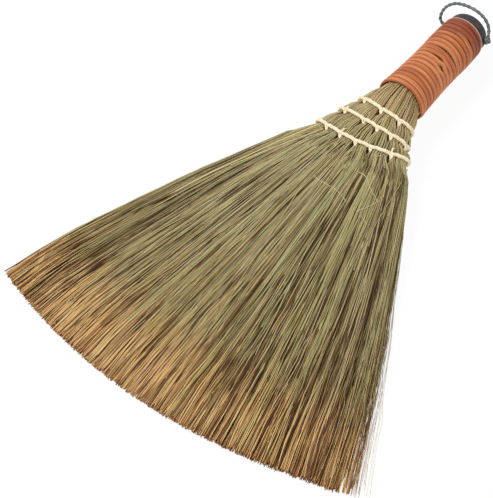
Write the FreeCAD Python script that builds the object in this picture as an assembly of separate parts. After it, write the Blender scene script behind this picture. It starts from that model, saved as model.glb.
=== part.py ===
import FreeCAD, Part
import math
import os

# Hand broom lying on its belly: a fan of grass fibres in bundles side by side, three sewn rows of
# twine, a cane-wound handle, a black end cap and a cord loop to hang it by.
# Frame: +Y along the handle to the cap, X across the fan, Z up from the surface it lies on.
# All lengths are in millimetres.

# Overall sizes
overall_length = 371.0
fan_width = 258.0
fan_lean = 7.5            # how far the middle of the tips stands to one side of the handle axis
lean_growth = 1.7         # power of the way to the tips with which the fan leans over
tip_bow = 22.0            # how far the tips' middle reaches past the tips' corners
tip_slant = 5.2           # how much further back the tips lie on one side than in the middle

# Handle
handle_low_radius = 18.6  # outside of the cane at the fan
handle_top_radius = 16.3  # outside of the cane at the cap
wrap_length = 82.0
wrap_turns = 18
cane_diameter = 3.9

# End cap
cap_height = 10.5
cap_radius = 15.3
cap_edge_radius = 3.4
cap_skirt_length = 9.0
cap_skirt_wall = 1.0
cord_hole_drop = 6.0      # from the cap's end face down to the cord's hole

# Hidden bindings round the stalks, under the cane
binding_thickness = 1.0
binding_width = 4.0
binding_inset = 6.0       # from the cane's end or the cap's skirt to the binding

# Fibre bundles
bundle_count = 6
bundle_gap = 0.5
bundle_side_share = 0.93  # where an outer bundle's round side starts, of the half width there
belly_cut = 0.5           # depth of the flat on which the fan lies
fan_root_height = 22.5
tip_thickness = 9.0
fan_edge_share = 0.86     # flat stretch of the fan's top, of its half width
fan_shares = (0.08, 0.2, 0.36, 0.56, 0.78, 1.0)
fan_spread_shares = (0.124, 0.267, 0.434, 0.634, 0.832, 1.0)
fan_drop_shares = (0.25, 0.5, 0.75, 0.93, 1.0, 1.0)    # how far the fan's top has come down
belly_drop_shares = (0.4, 0.75, 1.0, 1.0, 1.0, 1.0)    # how far its underside has come down
even_gaps_share = 0.36    # of the way to the tips, from where the bundles are equally wide
puff_rise = 1.7           # how far the bundles swell between two rows
row_crown = 0.15          # crown of each bundle under a row's twine, with its clumps
puff_crown = 1.3          # crown of each bundle between two rows
fan_crown = 1.0
tip_crown = 0.6
clump_edge_shares = (0.0, 0.3, 0.64, 1.0)   # clumps of fibres that show as low ribs on each bundle
row_clump_rise = 0.05
puff_clump_rise = 0.3
fan_clump_rise = 1.9
clumps_full_share = 0.3   # of the way to the tips, from where the clumps stand up fully

# Sewn rows, counted from the handle
row_drops = (18.7, 32.0, 49.6)          # from the cane's end to the middle of each row
row_half_widths = (21.6, 27.3, 33.5)
row_half_thicknesses = (8.9, 7.8, 7.4)
row_middle_heights = (17.4, 16.3, 15.0)
row_shifts = (-0.5, -0.8, -0.8)         # of a row's middle from the handle axis
row_bows = (3.9, 3.4, 7.9)              # how much nearer the handle a row's ends are than its middle
row_slants = (-1.8, -0.7, 3.5)          # how much nearer one end is than the middle, besides
row_gap_shares = (                      # gaps between bundles, from one side of a row to the other
    (-0.78, -0.42, -0.08, 0.24, 0.56),
    (-0.8, -0.25, 0.16, 0.54, 0.8),
    (-0.77, -0.35, -0.02, 0.31, 0.69),
)
row_gaps_sewn = ((1, 3, 5), (1, 2, 3, 4, 5), (1, 2, 3, 4, 5))
band_diameter = 2.2
stitch_diameter = 1.5

# Hanging loop
cord_diameter = 1.9
knot_radius = 2.5
knot_stretch_share = 1.25  # length of the knot along the cord, of its width
loop_tilt = 80.0           # degrees from the handle axis
# The cord's route in the loop's own plane: across the broom, and out from the hole's axis
loop_route = (
    (18.4, 0.0),
    (-21.9, 0.0),
    (-21.3, 10.4),
    (-14.6, 20.2),
    (-5.6, 25.2),
    (5.0, 25.6),
    (14.6, 20.9),
    (19.2, 12.0),
    (18.6, 3.2),
)
arc_run_share = 0.45       # part of the shorter run that each bend takes up

# Clearances
fit = 0.3                  # between neighbouring pieces
overrun = 5.0              # how far cutting shapes pass the faces that they cut

# Places worked out from the sizes
cap_end_y = overall_length / 2
tip_y = -overall_length / 2
wrap_top_y = cap_end_y - cap_height
wrap_low_y = wrap_top_y - wrap_length
row_ys = [wrap_low_y - drop for drop in row_drops]
hole_y = cap_end_y - cord_hole_drop
handle_x = -fan_lean
handle_z = handle_low_radius
fan_half_width = fan_width / 2
band_radius = band_diameter / 2
stitch_radius = stitch_diameter / 2
cane_radius = cane_diameter / 2
cord_radius = cord_diameter / 2
cord_hole_radius = cord_radius + fit
row_out = row_crown + fit + band_radius
steepest_band = 0.75       # most that a band rises or turns off across a stitch, per length
stitch_bend_most = band_radius * math.hypot(1, steepest_band) + stitch_radius * (1 + steepest_band) + fit
row_half_length = stitch_bend_most + stitch_radius + fit
sewn_gap = stitch_diameter + 2 * fit
band_steps = 24
turn_halvings = 40
row_rises = (row_crown - row_clump_rise, row_clump_rise)
even_edges = [-1 + 2 * index / bundle_count for index in range(bundle_count + 1)]

X_AXIS = FreeCAD.Vector(1, 0, 0)
Y_AXIS = FreeCAD.Vector(0, 1, 0)
Z_AXIS = FreeCAD.Vector(0, 0, 1)


def point(x, y, z):
    return FreeCAD.Vector(x, y, z)


def line(start, end):
    return Part.LineSegment(start, end).toShape()


def arc(start, middle, end):
    return Part.Arc(start, middle, end).toShape()


def between(low, high, share):
    return low + (high - low) * share


def save(name, shape):
    os.makedirs("parts", exist_ok=True)
    shape.exportStep("parts/" + name + ".step")
    solids = shape.Solids
    print(name, "solids", len(solids), "volume", round(shape.Volume, 1), "valid", shape.isValid())


def wrap_outside(y):
    """Radius of the cane's outside at a place along the handle."""
    return between(handle_low_radius, handle_top_radius, (y - wrap_low_y) / wrap_length)


def wrap_inside(y):
    return wrap_outside(y) - cane_diameter


def stalk_radius(y, layer):
    """Radius of the stalks where a layer of that thickness lies between them and the cane."""
    return wrap_inside(y) - fit - layer - fit


def sweep(path, start, direction, radius):
    """A round tube along a path of lines and arcs."""
    profile = Part.Wire([Part.Circle(start, direction, radius).toShape()])
    return path.makePipeShell([profile], True, False)


class Section:
    """One cross-section of the fibres: a flat oval, bowed and leaning as the fan is there."""

    def __init__(self, y, half_width, low, high, gap, rises, way=(0.0, 0.0, 0.0), edges=None, flat=None):
        self.y = y
        self.half_width = half_width
        self.flat = flat or 0.0
        self.low = low
        self.high = high
        self.gap = gap
        self.crown, self.clump_rise = rises
        self.lean, self.bow, self.slant = way
        self.edges = edges or even_edges
        self.belly_round = flat is None

    def place(self, across, z):
        """A point at a share across the section, from -1 to 1, bowed with the rows or the fan."""
        x = handle_x + self.lean + across * self.half_width
        return point(x, self.y + self.bow * across ** 2 + self.slant * across, z)

    def fullness(self, across):
        """Height of the oval there, as a share of its height in the middle."""
        past = max(0.0, abs(across) * self.half_width - self.flat)
        return math.sqrt(max(0.0, 1 - (past / (self.half_width - self.flat)) ** 2))

    def top(self, across):
        middle = (self.low + self.high) / 2
        return middle + (self.high - middle) * self.fullness(across)

    def bottom(self, across):
        middle = (self.low + self.high) / 2
        if not self.belly_round:
            return self.low
        return middle - (middle - self.low) * self.fullness(across)

    def wire(self, index):
        """The outline of one bundle in this section."""
        half_gap = self.gap / 2 / self.half_width
        left = self.edges[index] + half_gap
        right = self.edges[index + 1] - half_gap
        first = index == 0
        last = index == bundle_count - 1
        left = -bundle_side_share if first else left
        right = bundle_side_share if last else right
        middle = (left + right) / 2
        level = (self.low + self.high) / 2
        low_left = self.place(left, self.bottom(left))
        low_right = self.place(right, self.bottom(right))
        top_left = self.place(left, self.top(left))
        top_right = self.place(right, self.top(right))
        if self.belly_round:
            trough = (low_left + low_right) / 2
            trough.z = self.bottom(middle) - row_crown
            under = arc(low_left, trough, low_right)
        else:
            under = line(low_left, low_right)
        right_side = line(low_right, top_right)
        left_side = line(top_left, low_left)
        if last:
            right_side = arc(low_right, self.outer_point(low_right, low_left, right, level), top_right)
        if first:
            left_side = arc(top_left, self.outer_point(low_left, low_right, left, level), low_left)
        return Part.Wire([under, right_side, *self.clumps(top_right, top_left, right, left), left_side])

    def top_point(self, start, end, first, last, share, rise):
        """A point on the top of a bundle, at a share of the way from one corner to the other."""
        spot = start + (end - start) * share
        spot.z = self.top(between(first, last, share)) + 4 * self.crown * share * (1 - share) + rise
        return spot

    def clumps(self, start, end, first, last):
        """The top of a bundle from corner to corner, one low arc for each clump of fibres."""
        arcs = []
        for a, b in zip(clump_edge_shares, clump_edge_shares[1:]):
            arcs.append(arc(
                self.top_point(start, end, first, last, a, 0.0),
                self.top_point(start, end, first, last, (a + b) / 2, self.clump_rise),
                self.top_point(start, end, first, last, b, 0.0),
            ))
        return arcs

    def outer_point(self, corner, other, across, level):
        """The middle of an outer bundle's round side, in the plane of its outline."""
        outward = point(corner.x - other.x, corner.y - other.y, 0)
        outward.normalize()
        reach = (1 - abs(across)) * self.half_width
        side = corner + outward * reach
        side.z = level
        return side


def handle_section(y, layer):
    radius = stalk_radius(y, layer)
    return Section(y, radius, handle_z - radius, handle_z + radius, bundle_gap, row_rises)


def row_section(row, y):
    """The pinched oval under a row's twine, as long as the stitches need."""
    half_width = row_half_widths[row]
    half_thickness = row_half_thicknesses[row]
    middle = row_middle_heights[row]
    way = (row_shifts[row], row_bows[row], row_slants[row])
    edges = [-1.0, *row_gap_shares[row], 1.0]
    low = middle - half_thickness
    high = middle + half_thickness
    return Section(y, half_width, low, high, sewn_gap, row_rises, way, edges)


def puff_section(before, after):
    """The swelling of the bundles half-way between two pinched sections."""
    half_width = (before.half_width + after.half_width) / 2 + puff_rise
    low = (before.low + after.low) / 2 - puff_rise
    high = (before.high + after.high) / 2 + puff_rise
    ways = ((before.lean, after.lean), (before.bow, after.bow), (before.slant, after.slant))
    way = [(a + b) / 2 for a, b in ways]
    edges = [(a + b) / 2 for a, b in zip(before.edges, after.edges)]
    rises = (puff_crown, puff_clump_rise)
    return Section((before.y + after.y) / 2, half_width, low, high, bundle_gap, rises, way, edges)


def fan_section(share, spread_share, drop_share, belly_share):
    half_width = between(row_half_widths[-1], fan_half_width, spread_share)
    high = between(fan_root_height, tip_thickness, drop_share)
    crown = between(fan_crown, tip_crown, share)
    y = between(row_ys[-1], tip_y, share)
    evenness = min(1.0, share / even_gaps_share)
    flat = half_width * fan_edge_share * evenness
    rows_way = (row_shifts[-1], row_bows[-1], row_slants[-1])
    tips_way = (fan_lean, tip_bow, tip_slant)
    lean_share = share ** lean_growth
    way = [between(a, b, part) for a, b, part in zip(rows_way, tips_way, (lean_share, share, share))]
    sewn_edges = [-1.0, *row_gap_shares[-1], 1.0]
    edges = [between(a, b, evenness) for a, b in zip(sewn_edges, even_edges)]
    rises = (crown, fan_clump_rise * min(1.0, share / clumps_full_share))
    row_low = row_middle_heights[-1] - row_half_thicknesses[-1]
    low = between(row_low, -belly_cut, belly_share)
    return Section(y, half_width, low, high, bundle_gap, rises, way, edges, flat)


def all_sections():
    """The fibres' sections from the cap to the tips."""
    sections = [handle_section(wrap_top_y, cap_skirt_wall), handle_section(wrap_low_y, binding_thickness)]
    for row, y in enumerate(row_ys):
        pinched = row_section(row, y + row_half_length)
        sections.append(puff_section(sections[-1], pinched))
        sections.append(pinched)
        sections.append(row_section(row, y - row_half_length))
    for shares in zip(fan_shares, fan_spread_shares, fan_drop_shares, belly_drop_shares):
        sections.append(fan_section(*shares))
    return sections


def fibre_bundles():
    """Bundles of fibres side by side, from the cap through the handle to the tips."""
    sections = all_sections()
    reach = overall_length + 2 * overrun
    above = Part.makeBox(
        fan_width + 2 * overrun,
        reach,
        2 * handle_low_radius + overrun,
        point(-fan_half_width - overrun, -reach / 2, 0),
    )
    for index in range(bundle_count):
        bundle = Part.makeLoft([section.wire(index) for section in sections], True, True)
        save("fibre_bundle_" + str(index + 1), bundle.common(above))


def turned(outline):
    """A ring or cap turned about the handle axis from points given as (radius, place along it)."""
    corners = [point(handle_x + radius, y, handle_z) for radius, y in outline]
    face = Part.Face(Part.makePolygon(corners + corners[:1]))
    return face.revolve(point(handle_x, 0, handle_z), Y_AXIS, 360)


def bindings():
    """Two wound bands that hold the stalks together under the cane."""
    upper_y = wrap_top_y - cap_skirt_length - binding_inset
    lower_y = wrap_low_y + binding_inset
    places = (("upper_binding", upper_y - binding_width), ("lower_binding", lower_y))
    for name, low_y in places:
        high_y = low_y + binding_width
        outline = [
            (wrap_inside(low_y) - fit - binding_thickness, low_y),
            (wrap_inside(low_y) - fit, low_y),
            (wrap_inside(high_y) - fit, high_y),
            (wrap_inside(high_y) - fit - binding_thickness, high_y),
        ]
        save(name, turned(outline))


def end_cap():
    """The cap: a rounded head, a skirt over the stalks' ends, and the cord's cross hole."""
    under_y = wrap_top_y + fit
    head = Part.makeCylinder(cap_radius, cap_end_y - under_y, point(handle_x, under_y, handle_z), Y_AXIS)
    rim = [edge for edge in head.Edges if edge.CenterOfMass.y > cap_end_y - fit and edge.Length > cap_radius]
    head = head.makeFillet(cap_edge_radius, rim)
    skirt_y = wrap_top_y - cap_skirt_length
    outline = [
        (wrap_inside(skirt_y) - fit - cap_skirt_wall, skirt_y),
        (wrap_inside(skirt_y) - fit, skirt_y),
        (wrap_inside(wrap_top_y) - fit, under_y),
        (wrap_inside(wrap_top_y) - fit - cap_skirt_wall, under_y),
    ]
    cap = head.fuse(turned(outline)).removeSplitter()
    hole_start = point(handle_x - cap_radius - overrun, hole_y, handle_z)
    hole = Part.makeCylinder(cord_hole_radius, 2 * (cap_radius + overrun), hole_start, X_AXIS)
    save("end_cap", cap.cut(hole))


def biarc(start, start_way, end, end_way):
    """Two arcs that join two places smoothly in the given directions."""
    chord = end - start
    ways = start_way + end_way
    spread = 2 * (1 - start_way.dot(end_way))
    along = chord.dot(ways)
    reach = (math.sqrt(along ** 2 + spread * chord.dot(chord)) - along) / spread
    first = start + start_way * reach
    last = end - end_way * reach
    joint = (first + last) / 2
    middle_way = (last - first).normalize()
    arcs = []
    for a, a_way, b, b_way in ((start, start_way, joint, middle_way), (joint, middle_way, end, end_way)):
        half_turn = a_way.getAngle(b_way) / 2
        crest_way = (a_way - b_way).normalize()
        sagitta = (b - a).Length / 2 * math.tan(half_turn / 2)
        arcs.append(arc(a, (a + b) / 2 + crest_way * sagitta, b))
    return arcs


def rattan_wrap():
    """The cane wound round the handle in one length, tapering with it, with straight ends."""
    low_y = wrap_low_y + cane_radius
    pitch = (wrap_length - cane_diameter) / wrap_turns
    taper = (handle_top_radius - handle_low_radius) / wrap_length

    def place(turn):
        y = low_y + pitch * turn
        radius = wrap_outside(y) - cane_radius
        angle = 2 * math.pi * turn
        return point(handle_x + radius * math.cos(angle), y, handle_z + radius * math.sin(angle))

    def way(turn):
        radius = wrap_outside(low_y + pitch * turn) - cane_radius
        angle = 2 * math.pi * turn
        sideways = taper * pitch
        round_x = sideways * math.cos(angle) - 2 * math.pi * radius * math.sin(angle)
        round_z = sideways * math.sin(angle) + 2 * math.pi * radius * math.cos(angle)
        return point(round_x, pitch, round_z).normalize()

    half_turns = [half / 2 for half in range(2 * wrap_turns + 1)]
    start = place(0) - way(0) * cane_diameter
    end = place(wrap_turns) + way(wrap_turns) * cane_diameter
    edges = [line(start, place(0))]
    for a, b in zip(half_turns, half_turns[1:]):
        edges += biarc(place(a), way(a), place(b), way(b))
    edges.append(line(place(wrap_turns), end))
    path = Part.Wire(edges)
    cane = sweep(path, start, way(0), cane_radius)
    steps_per_turn = 24
    samples = [place(step / steps_per_turn) for step in range(wrap_turns * steps_per_turn + 1)]
    least = min(
        (samples[a] - samples[b]).Length
        for a in range(len(samples))
        for b in range(a + steps_per_turn // 2, min(a + 2 * steps_per_turn, len(samples)))
    )
    print("cane's least gap to itself", round(least - cane_diameter, 3))
    plain_volume = path.Length * math.pi * cane_radius ** 2
    print("cane volume over section times length", round(cane.Volume / plain_volume, 4))
    save("rattan_wrap", cane)


def row_place(row, turn):
    """A point on the line of a row's band, at an angle from its top, and the way outwards there."""
    half_width = row_half_widths[row]
    half_thickness = row_half_thicknesses[row]
    across = math.sin(turn)
    out_x = half_thickness * math.sin(turn)
    out_z = half_width * math.cos(turn)
    size = math.hypot(out_x, out_z)
    x = half_width * across + row_out * out_x / size
    z = half_thickness * math.cos(turn) + row_out * out_z / size
    y = row_ys[row] + row_bows[row] * across ** 2 + row_slants[row] * across
    return point(handle_x + row_shifts[row] + x, y, row_middle_heights[row] + z)


def row_way(row, turn):
    """The direction of a row's band at an angle from its top."""
    step = 0.0001
    return (row_place(row, turn + step) - row_place(row, turn - step)).normalize()


def stitch_bands():
    """One band of twine round the fibres at each row."""
    turns = [2 * math.pi * step / band_steps for step in range(band_steps + 1)]
    for row in range(len(row_ys)):
        edges = []
        for a, b in zip(turns, turns[1:]):
            edges += biarc(row_place(row, a), row_way(row, a), row_place(row, b), row_way(row, b))
        band = sweep(Part.Wire(edges), row_place(row, 0), row_way(row, 0), band_radius)
        save("stitch_band_" + str(row + 1), band)


def stitch(row, gap):
    """A loop of twine that goes through the fibres and over the band, above and below."""
    across = row_gap_shares[row][gap - 1]
    x = handle_x + row_shifts[row] + across * row_half_widths[row]
    low_turn = -math.pi / 2
    high_turn = math.pi / 2
    for halving in range(turn_halvings):
        turn = (low_turn + high_turn) / 2
        if row_place(row, turn).x < x:
            low_turn = turn
        else:
            high_turn = turn
    top = row_place(row, turn)
    ahead = row_way(row, turn)
    steepness = math.hypot(ahead.y, ahead.z) / ahead.x
    bend = band_radius * math.hypot(1, steepness) + stitch_radius * (1 + steepness) + fit
    upper = top.z
    lower = 2 * row_middle_heights[row] - top.z
    near_top = point(x, top.y - bend, upper)
    far_top = point(x, top.y + bend, upper)
    near_low = point(x, top.y - bend, lower)
    far_low = point(x, top.y + bend, lower)
    edges = [
        line(near_low, near_top),
        arc(near_top, point(x, top.y, upper + bend), far_top),
        line(far_top, far_low),
        arc(far_low, point(x, top.y, lower - bend), near_low),
    ]
    return sweep(Part.Wire(edges), near_low, Z_AXIS, stitch_radius)


def cross_stitches():
    """The stitches of each row, in the gaps between bundles."""
    for row, gaps in enumerate(row_gaps_sewn):
        stitches = [stitch(row, gap) for gap in gaps]
        save("cross_stitches_" + str(row + 1), Part.makeCompound(stitches))


def rounded_route(points):
    """Straight runs with tangent arcs, each as large as the two runs beside it allow."""
    edges = []
    start = points[0]
    for before, corner, after in zip(points, points[1:], points[2:]):
        run_in = corner - before
        run_out = after - corner
        turn = run_in.getAngle(run_out)
        setback = arc_run_share * min(run_in.Length, run_out.Length)
        radius = setback / math.tan(turn / 2)
        print("cord bend radius", round(radius, 2), "turn", round(math.degrees(turn), 1))
        way_in = run_in.normalize()
        way_out = run_out.normalize()
        arc_start = corner - way_in * setback
        arc_end = corner + way_out * setback
        centre_way = (way_out - way_in).normalize()
        depth = radius / math.cos(turn / 2) - radius
        edges.append(line(start, arc_start))
        edges.append(arc(arc_start, corner + centre_way * depth, arc_end))
        start = arc_end
    edges.append(line(start, points[-1]))
    return Part.Wire(edges)


def hanging_loop():
    """The cord through the cap's hole, over in an arch and back to its knot."""
    tilt = math.radians(loop_tilt)

    def place(across, out):
        return point(handle_x + across, hole_y + out * math.cos(tilt), handle_z + out * math.sin(tilt))

    points = [place(across, out) for across, out in loop_route]
    path = rounded_route(points)
    cord = sweep(path, points[0], X_AXIS, cord_radius)
    print("cord length", round(path.Length, 1))
    plain_volume = path.Length * math.pi * cord_radius ** 2
    print("cord volume over section times length", round(cord.Volume / plain_volume, 4))
    save("hanging_loop", cord)
    knot_middle = (points[0] + points[-1]) / 2
    knot = Part.makeSphere(knot_radius)
    stretch = FreeCAD.Matrix()
    stretch.scale(1, 1, knot_stretch_share)
    knot = knot.transformGeometry(stretch)
    knot.rotate(point(0, 0, 0), X_AXIS, loop_tilt - 90)
    knot.translate(knot_middle)
    save("loop_knot", knot)


fibre_bundles()
bindings()
end_cap()
rattan_wrap()
stitch_bands()
cross_stitches()
hanging_loop()
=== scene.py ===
import math

import bpy
from mathutils import Matrix, Vector


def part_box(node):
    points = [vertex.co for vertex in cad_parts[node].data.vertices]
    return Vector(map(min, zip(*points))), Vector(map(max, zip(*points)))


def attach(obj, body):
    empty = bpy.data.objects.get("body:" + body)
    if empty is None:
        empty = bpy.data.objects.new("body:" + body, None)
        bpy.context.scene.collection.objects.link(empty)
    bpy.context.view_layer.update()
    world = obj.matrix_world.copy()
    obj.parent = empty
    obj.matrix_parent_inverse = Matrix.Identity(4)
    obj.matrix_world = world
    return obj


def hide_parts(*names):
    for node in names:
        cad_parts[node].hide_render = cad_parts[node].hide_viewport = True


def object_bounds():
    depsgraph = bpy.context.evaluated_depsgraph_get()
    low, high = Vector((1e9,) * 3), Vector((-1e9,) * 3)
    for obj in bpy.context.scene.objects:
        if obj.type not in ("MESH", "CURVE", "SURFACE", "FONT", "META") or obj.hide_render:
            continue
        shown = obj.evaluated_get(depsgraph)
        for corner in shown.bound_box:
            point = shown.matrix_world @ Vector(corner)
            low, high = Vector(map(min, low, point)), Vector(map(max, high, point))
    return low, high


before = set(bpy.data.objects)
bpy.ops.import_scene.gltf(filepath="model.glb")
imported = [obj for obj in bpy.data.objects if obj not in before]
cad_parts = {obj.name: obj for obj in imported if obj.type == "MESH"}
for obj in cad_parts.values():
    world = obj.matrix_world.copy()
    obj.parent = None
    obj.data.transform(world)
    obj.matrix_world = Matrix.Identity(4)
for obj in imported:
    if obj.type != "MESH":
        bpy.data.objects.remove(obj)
cad_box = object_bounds()

# Hand broom lying on its belly. Lengths are written in millimetres and multiplied by MM.
# Frame: +Y along the handle to the cap, X across the fan, Z up from the floor.
MM = 0.001
BROOM = "broom"
LOOP = "loop"
BAKE_MAP = "OFBake"

# Camera, as fitted to the handle and the rows
camera_target = (-12.76, -69.05, 18.0)
camera_azimuth = 38.15
camera_elevation = 53.32
camera_distance = 700.0
camera_lens = 81.65
camera_sensor = 36.0

# Fan, close to the CAD
fan_half_width = 129.0
fan_lean = 7.5
lean_growth = 1.7
tip_bow = 22.0
tip_slant = 5.2
fan_root_height = 22.5
tip_height = 9.0
fan_edge_share = 0.86
even_share = 0.36
fan_spread = (
    (0.0, 0.0),
    (0.08, 0.124),
    (0.2, 0.267),
    (0.36, 0.434),
    (0.56, 0.634),
    (0.78, 0.832),
    (1.0, 1.0),
)
fan_drop = ((0.0, 0.0), (0.08, 0.25), (0.2, 0.5), (0.36, 0.75), (0.56, 0.93), (0.9, 1.0), (1.0, 1.3))
belly_drop = ((0.0, 0.0), (0.08, 0.4), (0.2, 0.75), (0.36, 1.0), (1.0, 1.0))
fan_crown = 1.0
tip_crown = 0.6
clump_rise = 1.9
clumps_full_share = 0.3
clump_edges = (0.0, 0.3, 0.64, 1.0)
bundle_count = 6
hue_bands = 4.0
station_shares = (0.06, 0.12, 0.19, 0.27, 0.36, 0.45, 0.54, 0.63, 0.72, 0.81, 0.9, 1.0)
belly_height = 0.4
least_strand_height = 0.52
come_up_depth = 3.0       # how far below the top a strand of the fan starts
come_up_inset = 2.5       # and how far inside the fan's sides
stitch_gap_reach = 1.8
most_stitches = 5
no_stitch = 9.0           # a place outside the fan, for rows with fewer stitches

# Rows, close to the CAD, with the outermost stitches nearer the sides
row_drops = (18.7, 32.0, 49.6)
row_half_widths = (21.6, 27.3, 33.5)
row_half_thicknesses = (8.9, 7.8, 7.4)
row_middle_heights = (17.4, 16.3, 15.0)
row_shifts = (-0.5, -0.8, -0.8)
row_bows = (3.9, 3.4, 7.9)
row_slants = (-1.8, -0.7, 3.5)
row_stitch_shares = (
    (-0.8, -0.1, 0.57),
    (-0.85, -0.25, 0.15, 0.54, 0.95),
    (-0.75, -0.39, -0.03, 0.29, 0.69),
)
band_diameter = 2.2
band_lift = 0.2
band_knots = 144
dip_reach = 1.7           # of the band's dip at a stitch
dip_depth = 0.5
dip_drop = 0.4
band_lay = {"Plies": 3, "Ply Radius": 0.9, "Lay Radius": 0.5, "Lay Length": 14.0, "Step": 0.5}
stitch_lay = {"Plies": 2, "Ply Radius": 0.5, "Lay Radius": 0.3, "Lay Length": 6.0, "Step": 0.35}

# Handle
wrap_turns = 18.5
wrap_pitch = 4.36
points_in_turn = 72
wrap_low_radius = 18.6
wrap_top_radius = 16.3
strip_thickness = 1.8
strip_width_share = 0.94
waist = 1.7
waist_figure = ((0.0, 0.5), (1.0, 0.66), (0.35, 0.0), (0.6, 0.2), (0.82, 0.7))
neck_radius = 15.9
neck_top_radius = 12.3
dark_turn = 15.12         # where the darker length of cane starts
wrap_slits = (            # turn, half length in turns, and how far its turns stand apart there
    (10.18, 0.085, 1.5),
    (8.215, 0.045, 1.1),
    (8.18, 0.02, 1.3),
    (7.15, 0.035, 1.0),
    (7.135, 0.02, 1.3),
    (15.12, 0.03, 0.9),
)
strip_map_share = 0.9     # of a turn's width on the map that the strip fills

# Loop
loop_tilt = 80.0
cord_lay = {"Plies": 2, "Ply Radius": 0.82, "Lay Radius": 0.42, "Lay Length": 8.0, "Step": 0.4}
cord_exit_across = -15.3
knot_points = 24
knot_across = 17.3
knot_out = 3.6
knot_ring = 1.15
knot_ring_swing = 0.55
knot_stretch = 1.25
knot_depth = 0.9

# Floor and light
floor_half_size = 6.0
floor_glow_share = 0.93
world_strength = 0.48
key_place = (-0.95, -0.5, 1.4)
key_size = 0.4
key_power = 25.0
fill_place = (1.1, -0.5, 0.8)
fill_size = 0.5
fill_power = 8.0

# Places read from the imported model
cap_low, cap_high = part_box("end_cap")
wrap_low, wrap_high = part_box("rattan_wrap")
handle_x = (cap_low.x + cap_high.x) / 2 / MM
handle_z = (cap_low.z + cap_high.z) / 2 / MM
wrap_low_y = wrap_low.y / MM
wrap_top_y = wrap_high.y / MM
tip_y = cad_box[0].y / MM
row_ys = [wrap_low_y - drop for drop in row_drops]


# Node trees written as formulas

def feed(tree, value, socket):
    if isinstance(value, Field):
        tree.links.new(value.socket, socket)
    else:
        socket.default_value = value


class Field:
    """A value in a node tree, so that sums and products read as in a formula."""

    def __init__(self, tree, socket):
        self.tree = tree
        self.socket = socket

    def then(self, operation, *others):
        node = self.tree.nodes.new("ShaderNodeMath")
        node.operation = operation
        for socket, value in zip(node.inputs, (self, *others)):
            feed(self.tree, value, socket)
        return Field(self.tree, node.outputs[0])

    def __add__(self, other):
        return self.then("ADD", other)

    def __sub__(self, other):
        return self.then("SUBTRACT", other)

    def __mul__(self, other):
        return self.then("MULTIPLY", other)

    def __truediv__(self, other):
        return self.then("DIVIDE", other)

    def __neg__(self):
        return self.then("MULTIPLY", -1.0)

    def less_from(self, whole):
        return self.then("MULTIPLY_ADD", -1.0, whole)

    def kept_within(self, low, high):
        return self.then("MAXIMUM", low).then("MINIMUM", high)


def place_node(tree, kind, values=(), **settings):
    """A node with its settings, its inputs fed by name or by number."""
    node = tree.nodes.new(kind)
    for name, setting in settings.items():
        setattr(node, name, setting)
    for name, value in dict(values).items():
        feed(tree, value, node.inputs[name])
    return node


def output(tree, node, name=0):
    return Field(tree, node.outputs[name])


def vector_of(tree, x, y, z):
    return output(tree, place_node(tree, "ShaderNodeCombineXYZ", {0: x, 1: y, 2: z}))


def noise_of(tree, x, y, z, detail=1.0):
    """Smooth noise about zero, from -1 to 1 at most."""
    values = {"Vector": vector_of(tree, x, y, z), "Scale": 1.0, "Detail": detail}
    node = place_node(tree, "ShaderNodeTexNoise", values)
    return (output(tree, node, "Fac") - 0.5) * 2.0


def curve_of(tree, value, points):
    """A smooth curve through points given as (in, out)."""
    node = place_node(tree, "ShaderNodeFloatCurve", {"Value": value})
    line = node.mapping.curves[0]
    for number, (before, after) in enumerate(points):
        if number < 2:
            line.points[number].location = (before, after)
        else:
            line.points.new(before, after)
    node.mapping.update()
    return output(tree, node)


def shape_tree(name, sockets):
    """An empty geometry tree with named inputs. Returns it, its inputs and its end node."""
    tree = bpy.data.node_groups.new(name, "GeometryNodeTree")
    tree.interface.new_socket("Geometry", in_out="OUTPUT", socket_type="NodeSocketGeometry")
    tree.interface.new_socket("Geometry", in_out="INPUT", socket_type="NodeSocketGeometry")
    for label, kind in sockets:
        tree.interface.new_socket(label, in_out="INPUT", socket_type="NodeSocket" + kind)
    start = tree.nodes.new("NodeGroupInput")
    end = tree.nodes.new("NodeGroupOutput")
    inputs = {socket.name: Field(tree, socket) for socket in start.outputs if socket.name}
    return tree, inputs, end


def captured(tree, geometry, **values):
    """Keeps values on a geometry while it is changed. Returns the geometry and the kept values."""
    node = place_node(tree, "GeometryNodeCaptureAttribute", domain="POINT")
    for name in values:
        node.capture_items.new("FLOAT", name)
    feed(tree, geometry, node.inputs[0])
    for name, value in values.items():
        feed(tree, value, node.inputs[name])
    return output(tree, node), {name: output(tree, node, name) for name in values}


def finish_tree(tree, end, geometry, material, joined=None):
    """Closes a tree: smooth faces, plain mesh, material."""
    smooth = place_node(tree, "GeometryNodeSetShadeSmooth", {0: geometry})
    real = place_node(tree, "GeometryNodeRealizeInstances", {0: output(tree, smooth)})
    painted = place_node(tree, "GeometryNodeSetMaterial", {0: output(tree, real)})
    painted.inputs["Material"].default_value = material
    result = output(tree, painted)
    if joined is not None:
        join = place_node(tree, "GeometryNodeJoinGeometry")
        feed(tree, joined, join.inputs[0])
        feed(tree, result, join.inputs[0])
        result = output(tree, join)
    feed(tree, result, end.inputs[0])


def map_stored(tree, geometry, along, around):
    """Stores the piece's own map."""
    values = {0: geometry, "Name": BAKE_MAP, "Value": vector_of(tree, along, around, 0.0)}
    settings = {"data_type": "FLOAT2", "domain": "CORNER"}
    return output(tree, place_node(tree, "GeometryNodeStoreNamedAttribute", values, **settings))


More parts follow.
